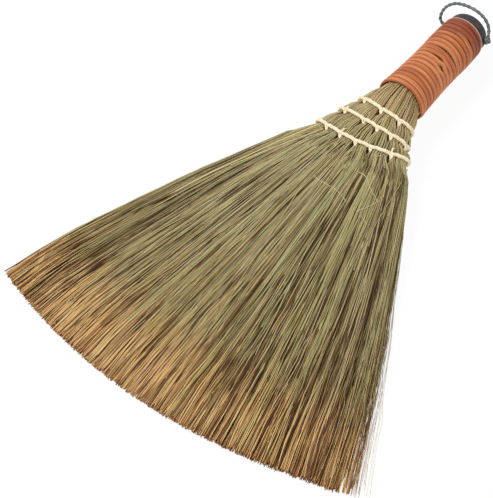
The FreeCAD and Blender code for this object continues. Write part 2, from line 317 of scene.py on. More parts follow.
def grown(name, steps, start=None):
    """The plain mesh that one or more trees make. Each step is a tree and its inputs by name."""
    source = bpy.data.objects.new(name + "_source", start or bpy.data.meshes.new(name + "_source"))
    bpy.context.scene.collection.objects.link(source)
    for tree, values in steps:
        modifier = source.modifiers.new(tree.name, "NODES")
        modifier.node_group = tree
        for item in tree.interface.items_tree:
            if item.in_out == "INPUT" and item.name in values:
                modifier[item.identifier] = values[item.name]
    mesh = bpy.data.meshes.new_from_object(source.evaluated_get(bpy.context.evaluated_depsgraph_get()))
    mesh.name = name
    source.modifiers.clear()
    bpy.data.objects.remove(source)
    return mesh


def in_metres(lay):
    """A lay's inputs in metres, its count of plies as it is."""
    return {name: size if name == "Plies" else size * MM for name, size in lay.items()}


def add_piece(name, mesh, body, slot, *nodes):
    piece = bpy.data.objects.new(name, mesh)
    bpy.context.scene.collection.objects.link(piece)
    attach(piece, body)
    if nodes:
        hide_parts(*nodes)
    return piece


def smooth_lines(routes, closed=False, order=4, steps=8):
    """A mesh of points and edges along smooth splines, one for each route of points in millimetres."""
    curve = bpy.data.curves.new("route", "CURVE")
    curve.dimensions = "3D"
    curve.resolution_u = steps
    for route in routes:
        spline = curve.splines.new("NURBS")
        spline.points.add(len(route) - 1)
        for knot, place in zip(spline.points, route):
            knot.co = (*(Vector(place) * MM), 1.0)
        spline.order_u = order
        spline.use_endpoint_u = not closed
        spline.use_cyclic_u = closed
    line = bpy.data.objects.new("route", curve)
    bpy.context.scene.collection.objects.link(line)
    mesh = bpy.data.meshes.new_from_object(line.evaluated_get(bpy.context.evaluated_depsgraph_get()))
    bpy.data.objects.remove(line)
    return mesh


# Materials

def srgb(red, green, blue):
    """A colour as it is seen on a screen, from 0 to 255."""
    def linear(value):
        share = value / 255
        return share / 12.92 if share <= 0.04045 else ((share + 0.055) / 1.055) ** 2.4
    return (linear(red), linear(green), linear(blue), 1.0)


def new_material(name, roughness):
    material = bpy.data.materials.new(name)
    material.use_nodes = True
    tree = material.node_tree
    shader = tree.nodes["Principled BSDF"]
    shader.inputs["Roughness"].default_value = roughness
    return material, tree, shader


def ramp_of(tree, value, stops):
    node = place_node(tree, "ShaderNodeValToRGB", {"Fac": value})
    stop_list = node.color_ramp.elements
    while len(stop_list) < len(stops):
        stop_list.new(0.5)
    for stop, (place, colour) in zip(stop_list, stops):
        stop.position = place
        stop.color = colour
    return output(tree, node)


def mixed(tree, share, first, second, blend="MIX"):
    node = place_node(tree, "ShaderNodeMix", data_type="RGBA", blend_type=blend)
    feed(tree, share, node.inputs[0])
    feed(tree, first, node.inputs[6])
    feed(tree, second, node.inputs[7])
    return output(tree, node, 2)


def own_map(tree):
    node = place_node(tree, "ShaderNodeUVMap", uv_map=BAKE_MAP)
    split = place_node(tree, "ShaderNodeSeparateXYZ", {0: output(tree, node)})
    return output(tree, split, 0), output(tree, split, 1)


def fine_grain():
    """Grain that several materials share: a mask, and the normal of its relief."""
    group = bpy.data.node_groups.new("fine grain", "ShaderNodeTree")
    group.interface.new_socket("Fineness", in_out="INPUT", socket_type="NodeSocketVector")
    group.interface.new_socket("Detail", in_out="INPUT", socket_type="NodeSocketFloat")
    group.interface.new_socket("Relief", in_out="INPUT", socket_type="NodeSocketFloat")
    group.interface.new_socket("Mask", in_out="OUTPUT", socket_type="NodeSocketFloat")
    group.interface.new_socket("Normal", in_out="OUTPUT", socket_type="NodeSocketVector")
    start = group.nodes.new("NodeGroupInput")
    end = group.nodes.new("NodeGroupOutput")
    place = output(group, place_node(group, "ShaderNodeTexCoord"), "Object")
    scaled = place_node(group, "ShaderNodeVectorMath", {0: place}, operation="MULTIPLY")
    feed(group, output(group, start, "Fineness"), scaled.inputs[1])
    noise = place_node(group, "ShaderNodeTexNoise", {"Vector": output(group, scaled), "Scale": 1.0})
    feed(group, output(group, start, "Detail"), noise.inputs["Detail"])
    bump = place_node(group, "ShaderNodeBump", {"Height": output(group, noise, 0), "Distance": 0.2 * MM})
    feed(group, output(group, start, "Relief"), bump.inputs["Strength"])
    feed(group, output(group, noise, 0), end.inputs["Mask"])
    feed(group, output(group, bump), end.inputs["Normal"])
    return group


def grained(tree, shader, fineness, detail, relief):
    """Gives a material its fine grain, and returns the mask for its colours."""
    group = bpy.data.node_groups.get("fine grain") or fine_grain()
    node = place_node(tree, "ShaderNodeGroup", node_tree=group)
    node.inputs["Fineness"].default_value = fineness
    node.inputs["Detail"].default_value = detail
    node.inputs["Relief"].default_value = relief
    feed(tree, output(tree, node, "Normal"), shader.inputs["Normal"])
    return output(tree, node, "Mask")


def grass_material():
    """Dried grass: olive in the middle, honey at the tips, each strand of its own kind."""
    material, tree, shader = new_material("dried_grass", 0.62)
    along, level = own_map(tree)
    band = (level * hue_bands).then("FLOOR")
    kind = (level * hue_bands - band - 0.05) / 0.9
    ground = ramp_of(tree, along, (
        (0.0, srgb(232, 206, 164)),
        (0.2, srgb(232, 206, 166)),
        (0.36, srgb(212, 207, 170)),
        (0.6, srgb(207, 202, 165)),
        (0.84, srgb(210, 198, 155)),
        (0.93, srgb(248, 214, 163)),
        (1.0, srgb(255, 220, 168)),
    ))
    # The strand's level carries its own tone and also the painted shade put in by the fibre tree: deep
    # strands, shadowed gaps and lower corners
    tint = ramp_of(tree, kind, (
        (0.0, srgb(78, 52, 18)),
        (0.1, srgb(128, 102, 60)),
        (0.22, srgb(180, 163, 130)),
        (0.38, srgb(212, 204, 188)),
        (0.58, srgb(228, 226, 210)),
        (0.82, srgb(240, 240, 228)),
        (1.0, srgb(252, 252, 246)),
    ))
    colour = mixed(tree, 1.0, ground, tint, "MULTIPLY")
    hue = ramp_of(tree, (band + 0.5) / hue_bands, (
        (0.125, srgb(244, 252, 230)),
        (0.375, srgb(252, 250, 248)),
        (0.625, srgb(255, 242, 222)),
        (0.875, srgb(248, 240, 242)),
    ))
    colour = mixed(tree, 1.0, colour, hue, "MULTIPLY")
    blotch = noise_of(tree, along * 26.0, level * 900.0, 0.0, 2.0)
    shade = ramp_of(tree, blotch * 0.5 + 0.5, ((0.25, srgb(214, 204, 192)), (0.7, srgb(255, 255, 255))))
    colour = mixed(tree, 0.8, colour, shade, "MULTIPLY")
    end = (along + blotch * 0.008 - 0.985).then("MULTIPLY", 70.0).kept_within(0.0, 1.0)
    colour = mixed(tree, end * 0.3, colour, srgb(170, 108, 56))
    feed(tree, colour, shader.inputs["Base Color"])
    return material


def twine_material():
    """Undyed cotton twine."""
    material, tree, shader = new_material("cotton_twine", 0.85)
    fluff = grained(tree, shader, (700.0, 1100.0, 900.0), 3.0, 0.3)
    colour = ramp_of(tree, fluff, (
        (0.3, srgb(206, 188, 150)),
        (0.5, srgb(228, 213, 180)),
        (0.75, srgb(242, 231, 206)),
    ))
    feed(tree, colour, shader.inputs["Base Color"])
    return material


def cane_material():
    """Stained cane: terracotta, with grain along the strip and darker turns at the cap."""
    material, tree, shader = new_material("stained_cane", 0.6)
    part_turn, along = own_map(tree)
    level = along * (wrap_turns + 1.0) - part_turn - 0.5
    whole_turn = level.then("ROUND")
    side = (level - whole_turn) * (2.0 / strip_map_share)
    turn = whole_turn + part_turn
    grain = noise_of(tree, turn * 4.37, side * 2.2, whole_turn * 7.3, 3.0)
    tone = noise_of(tree, turn * 0.83, 5.3, 3.7, 1.0)
    colour = ramp_of(tree, (grain * 0.8 + tone * 0.35) * 0.5 + 0.5, (
        (0.22, srgb(128, 60, 26)),
        (0.38, srgb(170, 90, 44)),
        (0.52, srgb(198, 116, 64)),
        (0.72, srgb(218, 148, 96)),
    ))
    burnt = (noise_of(tree, turn * 8.63, side * 0.8, 11.3, 2.0) * 3.0 - 0.9).kept_within(0.0, 1.0)
    colour = mixed(tree, burnt * 0.55, colour, srgb(136, 62, 34))
    # Painted shade: the strip darkens towards both its edges, in the grooves between turns
    groove_shade = (side.then("ABSOLUTE").then("POWER", 1.6)).kept_within(0.0, 1.0)
    colour = mixed(tree, groove_shade * 0.6, colour, srgb(98, 42, 16))
    dark = ((turn - dark_turn) * 8.0).kept_within(0.0, 1.0)
    colour = mixed(tree, dark * 0.85, colour, srgb(176, 128, 112), "MULTIPLY")
    last = ((turn - wrap_turns + 0.75) * 8.0).kept_within(0.0, 1.0)
    rim = last * (side * 5.0).kept_within(0.0, 1.0)
    colour = mixed(tree, rim * 0.8, colour, srgb(214, 182, 166))
    feed(tree, colour, shader.inputs["Base Color"])
    bump = place_node(tree, "ShaderNodeBump", {"Height": grain, "Strength": 0.25})
    bump.inputs["Distance"].default_value = 0.15 * MM
    feed(tree, output(tree, bump), shader.inputs["Normal"])
    return material


def cap_material():
    """Black moulded plastic, scuffed grey."""
    material, tree, shader = new_material("scuffed_plastic", 0.5)
    scuff = grained(tree, shader, (260.0, 260.0, 260.0), 5.0, 0.25)
    colour = ramp_of(tree, scuff, (
        (0.42, srgb(44, 41, 42)),
        (0.6, srgb(66, 61, 61)),
        (0.75, srgb(104, 97, 95)),
    ))
    feed(tree, colour, shader.inputs["Base Color"])
    feed(tree, (scuff * 0.93 + 0.05).kept_within(0.42, 0.7), shader.inputs["Roughness"])
    return material


def cord_material():
    """Black-grey cord."""
    material, tree, shader = new_material("dark_cord", 0.7)
    fluff = grained(tree, shader, (900.0, 900.0, 900.0), 2.0, 0.2)
    colour = ramp_of(tree, fluff, (
        (0.35, srgb(62, 66, 68)),
        (0.65, srgb(120, 125, 128)),
    ))
    feed(tree, colour, shader.inputs["Base Color"])
    return material


def wire_material():
    """Drawn steel binding wire."""
    material, tree, shader = new_material("binding_wire", 0.4)
    drawn = grained(tree, shader, (500.0, 500.0, 500.0), 2.0, 0.1)
    colour = ramp_of(tree, drawn, ((0.3, srgb(130, 130, 132)), (0.7, srgb(168, 168, 168))))
    feed(tree, colour, shader.inputs["Base Color"])
    shader.inputs["Metallic"].default_value = 1.0
    return material


# Fibres

def between(low, high, share):
    return low + (high - low) * share


def along_steps(steps, share):
    """A value from steps of (share, value), straight between two steps."""
    for (a, low), (b, high) in zip(steps, steps[1:]):
        if share <= b:
            return between(low, high, (share - a) / (b - a))
    return steps[-1][1]


def fan_station(share):
    """One cross-section of the fan."""
    half_width = between(row_half_widths[2], fan_half_width, along_steps(fan_spread, share))
    row_low = row_middle_heights[2] - row_half_thicknesses[2]
    return dict(
        y=between(row_ys[2], tip_y, share),
        half_width=half_width,
        flat=half_width * fan_edge_share * min(1.0, share / even_share),
        low=between(row_low, belly_height, along_steps(belly_drop, share)),
        high=between(fan_root_height, tip_height, along_steps(fan_drop, share)),
        crown=between(fan_crown, tip_crown, share),
        clump=clump_rise * min(1.0, share / clumps_full_share),
        share=share,
        roundness=max(0.0, 1.0 - share / 0.12),
        lean=between(row_shifts[2], fan_lean, share ** lean_growth),
        bow=between(row_bows[2], tip_bow, share),
        slant=between(row_slants[2], tip_slant, share),
        parted=max(0.0, 1.2 - share * 14.0),
        sunk=0.0,
        swell=between(1.0, 0.85, share),
        stitches=row_stitch_shares[2],
    )


def row_station(row, offset, puff, parted):
    """A cross-section near a row: offset towards the handle, swollen by puff."""
    half_thickness = row_half_thicknesses[row] + puff
    middle = row_middle_heights[row]
    return dict(
        y=row_ys[row] + offset,
        half_width=row_half_widths[row] + puff,
        flat=0.0,
        low=middle - half_thickness,
        high=middle + half_thickness,
        crown=0.0,
        clump=0.0,
        share=0.0,
        roundness=1.0,
        lean=row_shifts[row],
        bow=row_bows[row],
        slant=row_slants[row],
        parted=parted,
        sunk=0.0,
        swell=0.9,
        stitches=row_stitch_shares[row],
    )


def neck_station(y, radius):
    return dict(
        y=y,
        half_width=radius,
        flat=0.0,
        low=handle_z - radius,
        high=handle_z + radius,
        crown=0.0,
        clump=0.0,
        share=0.0,
        roundness=1.0,
        lean=0.0,
        bow=0.0,
        slant=0.0,
        parted=0.0,
        sunk=0.0,
        swell=0.7,
        stitches=(),
    )


def mean_station(first, second, puff):
    """Half-way between two cross-sections, swollen by puff."""
    middle = {name: (first[name] + second[name]) / 2 for name in first if name != "stitches"}
    middle["half_width"] += puff
    middle["low"] -= puff
    middle["high"] += puff
    middle["parted"] = 0.35
    middle["stitches"] = first["stitches"]
    return middle


def whole_stations():
    """Cross-sections that a whole strand passes, from the cap to its tip."""
    stations = [
        neck_station(wrap_top_y - 2.0, neck_top_radius),
        neck_station(wrap_low_y + 6.0, neck_radius - 0.5),
        neck_station(wrap_low_y - 1.0, neck_radius),
    ]
    for row in range(3):
        above = row_station(row, 2.8, 0.5, 0.6)
        stations.append(mean_station(stations[-1], above, 1.0))
        stations += [above, row_station(row, 0.0, -0.2, 1.0), row_station(row, -3.0, 0.5, 1.3)]
    stations += [fan_station(share) for share in station_shares]
    return stations


def stations_from(first_share, count):
    """Cross-sections that a strand of the fan passes, from where it comes up to its tip."""
    shares = [between(first_share, 1.0, step / (count - 1)) for step in range(count)]
    stations = [fan_station(share) for share in shares]
    stations[0]["sunk"] = come_up_depth
    stations[0]["half_width"] -= come_up_inset
    return stations


def fibre_tree(name, stations, material):
    """Strands that fill a stretch of the fan between two bounds."""
    sockets = (
        ("Count", "Int"),
        ("Seed", "Int"),
        ("Left", "Float"),
        ("Right", "Float"),
        ("Thin Radius", "Float"),
        ("Thick Radius", "Float"),
        ("Stray", "Float"),
        ("Fray", "Float"),
        ("Tuck", "Float"),
        ("Curl", "Float"),
        ("Least Depth", "Float"),
        ("Paler", "Float"),
    )
    tree, inputs, end = shape_tree(name, sockets)
    number = output(tree, place_node(tree, "GeometryNodeInputIndex"))

    def chance(offset):
        node = place_node(tree, "FunctionNodeRandomValue", data_type="FLOAT")
        feed(tree, number, node.inputs["ID"])
        feed(tree, inputs["Seed"] + float(offset), node.inputs["Seed"])
        return output(tree, node, 1)

    # What each strand keeps: its place in the bundle, colour, thickness and length
    across = inputs["Left"] + (inputs["Right"] - inputs["Left"]) * chance(1)
    depth = curve_of(tree, chance(2), ((0.0, 0.0), (1.0, 1.0), (0.5, 0.54)))
    depth = inputs["Least Depth"].less_from(1.0) * depth + inputs["Least Depth"]
    streak = noise_of(tree, across * 42.0, depth * 2.0, 5.0, 2.0)
    right_side = (across - 0.05).kept_within(0.0, 0.6)
    # Painted shade: strands half-way down in the bundle's depth are darker, as if shadowed by the strands
    # above
    core_shade = (depth * 2.0 - 1.0).then("ABSOLUTE").less_from(1.0)
    own_kind = (chance(3) - 0.5) * (across * -0.2 + 1.15)
    kind = streak * 0.16 + own_kind + 0.67 - core_shade * 0.2 - right_side * 0.2 + inputs["Paler"]
    girth_range = inputs["Thick Radius"] - inputs["Thin Radius"]
    girth = chance(4).then("POWER", 2.0) * girth_range + inputs["Thin Radius"]
    clump = noise_of(tree, across * 30.0, 8.0, depth * 2.0, 1.0)
    hue = noise_of(tree, across * 15.0, depth * 2.0, 21.0, 1.0) * 1.3 + (chance(10) - 0.5) * 0.5 + 0.5
    reach = clump * 0.006 - chance(5).then("POWER", 5.0) * 0.04 + (chance(6) - 0.5) * 0.012
    reach = reach + depth * 0.008 + 0.987
    in_bundle = (inputs["Right"] - across) / (inputs["Right"] - inputs["Left"])
    peaks = [(edge, 0.0) for edge in clump_edges]
    peaks += [((a + b) / 2, 1.0) for a, b in zip(clump_edges, clump_edges[1:])]
    points = output(tree, place_node(tree, "GeometryNodePoints", {"Count": inputs["Count"]}))
    points, kept = captured(
        tree,
        points,
        across=across,
        depth=depth,
        kind=kind,
        right_side=right_side,
        girth=girth,
        reach=reach,
        band=(hue.kept_within(0.0, 0.99) * hue_bands).then("FLOOR"),
        sway=chance(7),
        crossing=chance(8),
        wisp=chance(9).then("POWER", 2.5) - 0.45,
        crown=in_bundle * in_bundle.less_from(1.0) * 4.0,
        ridge=curve_of(tree, in_bundle, peaks),
    )
    line = place_node(tree, "GeometryNodeCurvePrimitiveLine")
    strand = place_node(tree, "GeometryNodeResampleCurve", {0: output(tree, line)})
    strand.inputs["Count"].default_value = len(stations)
    spread = place_node(tree, "GeometryNodeInstanceOnPoints", {"Points": points})
    feed(tree, output(tree, strand), spread.inputs["Instance"])
    strands = output(tree, place_node(tree, "GeometryNodeRealizeInstances", {0: output(tree, spread)}))

    step = output(tree, place_node(tree, "GeometryNodeSplineParameter"), "Index")

    def by_station(values):
        node = place_node(tree, "GeometryNodeIndexSwitch", data_type="FLOAT")
        while len(node.index_switch_items) < len(stations):
            node.index_switch_items.new()
        feed(tree, step, node.inputs["Index"])
        for place, value in enumerate(values):
            node.inputs[place + 1].default_value = value
        return output(tree, node)

    def at_station(name, scale=1.0):
        return by_station([station[name] * scale for station in stations])

    def stitch_at_station(stitch):
        rows = [dict(enumerate(station["stitches"])) for station in stations]
        return by_station([places.get(stitch, no_stitch) for places in rows])

    half_width = at_station("half_width", MM)
    flat = at_station("flat", MM)
    low = at_station("low", MM)
    high = at_station("high", MM)
    share = at_station("share")
    along_y = at_station("y", MM)
    parting = at_station("parted", MM)
    across = kept["across"]
    sway = kept["sway"]

    # Places across: drift with the neighbours, a wander of its own, parted at the stitches
    edge = ((across.then("ABSOLUTE") - 0.84) * 6.25).kept_within(0.0, 1.0)
    free = (edge * 0.75).less_from(1.0)
    drift = noise_of(tree, across * 26.0, share * 1.6, kept["depth"] * 1.5, 1.0) * (share * 4.0 * MM)
    span = along_y / (17.0 * MM)
    own = noise_of(tree, sway * 900.0, span * 0.9, 4.0, 0.0) * (share * 1.25 + 0.45) * MM * inputs["Curl"]
    splay = (sway - 0.5) * (share - kept["crossing"]) * share.then("SIGN") * inputs["Stray"]
    fray = edge * kept["wisp"] * across.then("SIGN") * share * share * inputs["Fray"]
    tucked = (across - 0.8).then("MAXIMUM", 0.0) * share * inputs["Tuck"]
    held = (across - tucked) * (share * -0.02 + 0.995) * half_width
    push = 0.0
    crease = 0.0
    for number_in_row in range(most_stitches):
        apart = held - stitch_at_station(number_in_row) * half_width
        near = (apart.then("ABSOLUTE") * (-1.0 / (stitch_gap_reach * MM))).then("EXPONENT")
        push = apart.then("SIGN") * near + push
        crease = near * near + crease
    sideways = held + (drift + own + splay) * free + fray + push * parting * 1.2
    place = (sideways / half_width).kept_within(-1.12, 1.12)

    # Heights: between the belly and the top of the section, with clumps and a wander of its own
    past = (place.then("ABSOLUTE") * half_width - flat).then("MAXIMUM", 0.0) / (half_width - flat)
    fullness = (past * past).less_from(1.0).then("MAXIMUM", 0.0).then("SQRT")
    middle = (low + high) * 0.5
    ribs = kept["crown"] * at_station("crown", MM) + (kept["ridge"] * 0.6 + 0.3) * at_station("clump", MM)
    top = middle + (high - middle) * fullness + ribs - crease * parting * 0.9
    bottom = middle - (middle - low) * ((fullness - 1.0) * at_station("roundness") + 1.0)
    lift = noise_of(tree, across * 34.0, share * 2.2, sway * 2.0, 1.0) * (share * 0.3 + 0.3) * MM
    lift = lift + noise_of(tree, sway * 700.0, span * 0.8, 9.0, 0.0) * (share * 1.2 + 0.3) * MM
    right_edge = edge * across.then("GREATER_THAN", 0.0)
    thin = (right_edge * share * 0.6).less_from(1.0)
    height = bottom + (top - bottom) * kept["depth"] * thin + lift - at_station("sunk", MM)
    bow = place * place * at_station("bow", MM)
    slant = place * at_station("slant", MM)
    short = kept["reach"].less_from(1.0) * share * ((row_ys[2] - tip_y) * MM)
    x = sideways + at_station("lean", MM) + handle_x * MM
    y = along_y + bow + slant + short
    position = vector_of(tree, x, y, height.then("MAXIMUM", least_strand_height * MM))
    bent = place_node(tree, "GeometryNodeSetPosition", {0: strands, "Position": position})
    length = whole_stations()[0]["y"] - tip_y
    along = (along_y * (-1.0 / (length * MM))) + whole_stations()[0]["y"] / length
    bound = (share * 8.0).less_from(1.0).then("MAXIMUM", 0.0)
    patch = noise_of(tree, across * 9.0, share * 4.0, 2.0, 1.0) * (bound * 0.25 + 0.08)
    left_side = (-across - 0.45).kept_within(0.0, 0.6)
    # Darker towards the far left, and towards the lower right, where it is partly the straw's own
    # purple-brown streaks and partly painted shade
    patch = patch - kept["right_side"] * share * 0.4 - left_side * share * 0.3
    feathery = right_edge * (kept["wisp"].then("MAXIMUM", 0.0) * 0.9 + 0.2)
    # Painted shade: short dark stretches along each strand of the fan, standing in for shadowed gaps
    # between strands
    gap = (noise_of(tree, sway * 500.0, span * 0.3, 13.0, 0.0) - 0.16).then("MAXIMUM", 0.0) * 3.0
    kind = kept["kind"] + patch + feathery - gap * bound.less_from(1.0)
    kind = (kind + (kind.less_from(0.72) * 0.5 + 0.06) * bound).kept_within(0.02, 0.98)
    bent, kept_along = captured(tree, output(tree, bent), along=along, kind=kind, swell=at_station("swell"))

    ring = place_node(tree, "GeometryNodeCurvePrimitiveCircle")
    ring.inputs["Resolution"].default_value = 3
    ring.inputs["Radius"].default_value = 1.0
    # Painted shade: the two lower corners of each strand's ring are darker than the upper one, so each
    # strand shows a lit ridge and shaded edges
    flank = number.then("LESS_THAN", 1.5) * 0.45
    ring, kept_round = captured(tree, output(tree, ring), round=number, flank=flank)
    tube = place_node(tree, "GeometryNodeCurveToMesh", {0: bent, "Profile Curve": ring})
    feed(tree, kept["girth"] * kept_along["swell"], tube.inputs["Scale"])
    tube.inputs["Fill Caps"].default_value = True
    level = (kept_along["kind"] - kept_round["flank"]).kept_within(0.02, 0.98)
    around = (kept["band"] + level * 0.9 + 0.05 + (kept_round["round"] - 1.0) * 0.006) / hue_bands
    strands = map_stored(tree, output(tree, tube), kept_along["along"], around)
    finish_tree(tree, end, strands, material, inputs["Geometry"])
    return tree


def fibre_bundles(material):
    """Six bundles of strands side by side."""
    whole = fibre_tree("whole strands", whole_stations(), material)
    fan = fibre_tree("fan strands", stations_from(0.02, 15), material)
    branch = fibre_tree("branch strands", stations_from(0.4, 10), material)
    step = 2 / bundle_count
    for bundle in range(1, bundle_count + 1):
        values = {
            "Left": -1.0 + (bundle - 1) * step,
            "Right": -1.0 + bundle * step,
            "Thin Radius": 0.36 * MM,
            "Thick Radius": 0.56 * MM,
            "Stray": 14.0 * MM,
            "Fray": (12.0 if bundle == bundle_count else 4.0) * MM,
            "Tuck": 0.12,
            "Curl": 1.0,
            "Least Depth": 0.0,
            "Paler": 0.0,
        }
        loose = {"Stray": 60.0 * MM, "Least Depth": 1.03, "Paler": 0.3, "Thick Radius": 0.3 * MM}
        pale = {"Stray": 9.0 * MM, "Least Depth": 0.95, "Paler": 0.25, "Thick Radius": 0.42 * MM}
        steps = (
            (whole, dict(values, Count=360, Seed=100 * bundle)),
            (fan, dict(values, Count=270, Seed=100 * bundle + 50)),
            (branch, dict(values, Count=230, Seed=100 * bundle + 30)),
            (fan, dict(values, **pale, Count=55, Seed=100 * bundle + 80)),
            (fan, dict(values, **loose, Count=6, Seed=100 * bundle + 70)),
        )
        if bundle == bundle_count:
            wisps = {"Left": 0.86, "Tuck": -0.35, "Curl": 4.0, "Paler": 0.15}
            wisps.update({"Thin Radius": 0.1 * MM, "Thick Radius": 0.22 * MM})
            steps += ((fan, dict(values, **wisps, Count=130, Seed=990)),)
        name = "grass_bundle_" + str(bundle)
        add_piece(name, grown(name, steps), BROOM, "grass_fibre", "fibre_bundle_" + str(bundle))


# Straws that lie loose on the fan: thickness, hue band, and places by share of the length and across
loose_straws = (
    (0.21, 1, ((0.168, -0.13), (0.176, -0.01), (0.171, 0.17), (0.184, 0.27), (0.201, 0.37))),
    (0.21, 1, ((0.095, 0.3), (0.095, 0.39), (0.102, 0.47), (0.121, 0.5), (0.137, 0.57), (0.168, 0.69))),
    (0.21, 1, ((0.221, 0.51), (0.206, 0.56), (0.191, 0.61), (0.18, 0.65), (0.169, 0.67))),
    (0.19, 1, ((0.029, 0.41), (0.024, 0.51), (0.012, 0.58))),
    (0.19, 3, ((0.227, 0.57), (0.241, 0.62), (0.25, 0.66))),
    (0.55, 2, ((0.02, -0.84), (0.143, -0.86), (0.249, -0.84), (0.368, -0.87), (0.477, -0.86))),
    (0.42, 2, ((0.02, -0.68), (0.094, -0.74), (0.191, -0.8), (0.3, -0.83))),
)


def fan_top(share, across):
    """A place on top of the fan's strands."""
    section = fan_station(share)
    past = max(abs(across) * section["half_width"] - section["flat"], 0.0)
    past = past / (section["half_width"] - section["flat"])
    middle = (section["low"] + section["high"]) / 2
    height = middle + (section["high"] - middle) * math.sqrt(max(0.0, 1.0 - past ** 2))
    return (
        handle_x + section["lean"] + across * section["half_width"],
        section["y"] + section["bow"] * across ** 2 + section["slant"] * across,
        height + section["crown"] * 0.8 + section["clump"] * 0.9 + 0.3,
    )


def straw_tree(material):
    """A straw along each line of the mesh that the tree is given."""
    tree, inputs, end = shape_tree("loose straw", (("Radius", "Float"), ("Level", "Float")))
    line = place_node(tree, "GeometryNodeMeshToCurve", {0: inputs["Geometry"]})
    factor = output(tree, place_node(tree, "GeometryNodeSplineParameter"), "Factor")
    line, kept = captured(tree, output(tree, line), along=factor * 0.1 + 0.3)
    ring = place_node(tree, "GeometryNodeCurvePrimitiveCircle")
    ring.inputs["Resolution"].default_value = 5
    ring.inputs["Radius"].default_value = 1.0
    number = output(tree, place_node(tree, "GeometryNodeInputIndex"))
    ring, kept_round = captured(tree, output(tree, ring), round=number)
    tube = place_node(tree, "GeometryNodeCurveToMesh", {0: line, "Profile Curve": ring})
    feed(tree, inputs["Radius"], tube.inputs["Scale"])
    tube.inputs["Fill Caps"].default_value = True
    around = inputs["Level"] + (kept_round["round"] - 2.0) * 0.0015
    straws = map_stored(tree, output(tree, tube), kept["along"], around)
    finish_tree(tree, end, straws, material)
    return tree


def straws_on_top(material):
    tree = straw_tree(material)
    for number, (radius, band, places) in enumerate(loose_straws, 1):
        name = "loose_straw_" + str(number)
        line = smooth_lines([[fan_top(*place) for place in places]])
        mesh = grown(name, ((tree, {"Radius": radius * MM, "Level": (band + 0.94) / hue_bands}),), line)
        add_piece(name, mesh, BROOM, "grass_fibre")


# Twine and cord

def strand_tree(name, material):
    """Plies laid round each line of the mesh that the tree is given."""
    sockets = (
        ("Plies", "Int"),
        ("Ply Radius", "Float"),
        ("Lay Radius", "Float"),
        ("Lay Length", "Float"),
        ("Step", "Float"),
    )
    tree, inputs, end = shape_tree(name, sockets)
    line = place_node(tree, "GeometryNodeMeshToCurve", {0: inputs["Geometry"]})
    even = place_node(tree, "GeometryNodeResampleCurve", {0: output(tree, line)}, mode="LENGTH")
    feed(tree, inputs["Step"], even.inputs["Length"])
    whole = output(tree, place_node(tree, "GeometryNodeSplineLength"))
    factor = output(tree, place_node(tree, "GeometryNodeSplineParameter"), "Factor")
    turns = (whole / inputs["Lay Length"]).then("ROUND").then("MAXIMUM", 1.0)
    plies = place_node(tree, "GeometryNodeDuplicateElements", {0: output(tree, even)}, domain="SPLINE")
    feed(tree, inputs["Plies"], plies.inputs["Amount"])
    angle = (turns * factor + output(tree, plies, "Duplicate Index") / inputs["Plies"]) * (2 * math.pi)
    normal = output(tree, place_node(tree, "GeometryNodeInputNormal"))
    tangent = output(tree, place_node(tree, "GeometryNodeInputTangent"))
    side = place_node(tree, "ShaderNodeVectorMath", {0: tangent, 1: normal}, operation="CROSS_PRODUCT")

    def part(direction, size):
        node = place_node(tree, "ShaderNodeVectorMath", {0: direction, "Scale": size}, operation="SCALE")
        return output(tree, node)

    out = part(normal, angle.then("COSINE") * inputs["Lay Radius"])
    over = part(output(tree, side), angle.then("SINE") * inputs["Lay Radius"])
    offset = output(tree, place_node(tree, "ShaderNodeVectorMath", {0: out, 1: over}, operation="ADD"))
    laid = place_node(tree, "GeometryNodeSetPosition", {0: output(tree, plies), "Offset": offset})
    ring = place_node(tree, "GeometryNodeCurvePrimitiveCircle")
    ring.inputs["Resolution"].default_value = 7
    ring.inputs["Radius"].default_value = 1.0
    tube = place_node(tree, "GeometryNodeCurveToMesh", {0: output(tree, laid)})
    feed(tree, output(tree, ring), tube.inputs["Profile Curve"])
    feed(tree, inputs["Ply Radius"], tube.inputs["Scale"])
    tube.inputs["Fill Caps"].default_value = True
    finish_tree(tree, end, output(tree, tube), material)
    return tree


def row_place(row, turn, out):
    """A point round a row, at an angle from its top, so far outside the fibres."""
    half_width = row_half_widths[row]
    half_thickness = row_half_thicknesses[row]
    across = math.sin(turn)
    out_x = half_thickness * across
    out_z = half_width * math.cos(turn)
    size = math.hypot(out_x, out_z)
    x = half_width * across + out * out_x / size
    z = half_thickness * math.cos(turn) + out * out_z / size
    y = row_ys[row] + row_bows[row] * across ** 2 + row_slants[row] * across
    return Vector((handle_x + row_shifts[row] + x, y, row_middle_heights[row] + z))


def turn_length(row, turn):
    """How far along a row's oval one unit of turn goes there."""
    return math.hypot(row_half_widths[row] * math.cos(turn), row_half_thicknesses[row] * math.sin(turn))


def stitch_turns(row):
    """Where the stitches of a row are, above and below."""
    above = [math.asin(share) for share in row_stitch_shares[row]]
    return above + [math.pi - turn for turn in above]


def band_route(row):
    """The closed line of a row's band, drawn in a little at each stitch."""
    out = band_diameter / 2 + band_lift
    route = []
    for knot in range(band_knots):
        turn = 2 * math.pi * knot / band_knots
        dip = 0.0
        for place in stitch_turns(row):
            apart = math.remainder(turn - place, 2 * math.pi) * turn_length(row, place)
            dip = max(dip, math.exp(-(apart / dip_reach) ** 2))
        place = row_place(row, turn, out - dip_depth * dip)
        route.append(place - Vector((0.0, dip_drop * dip, 0.0)))
    return route


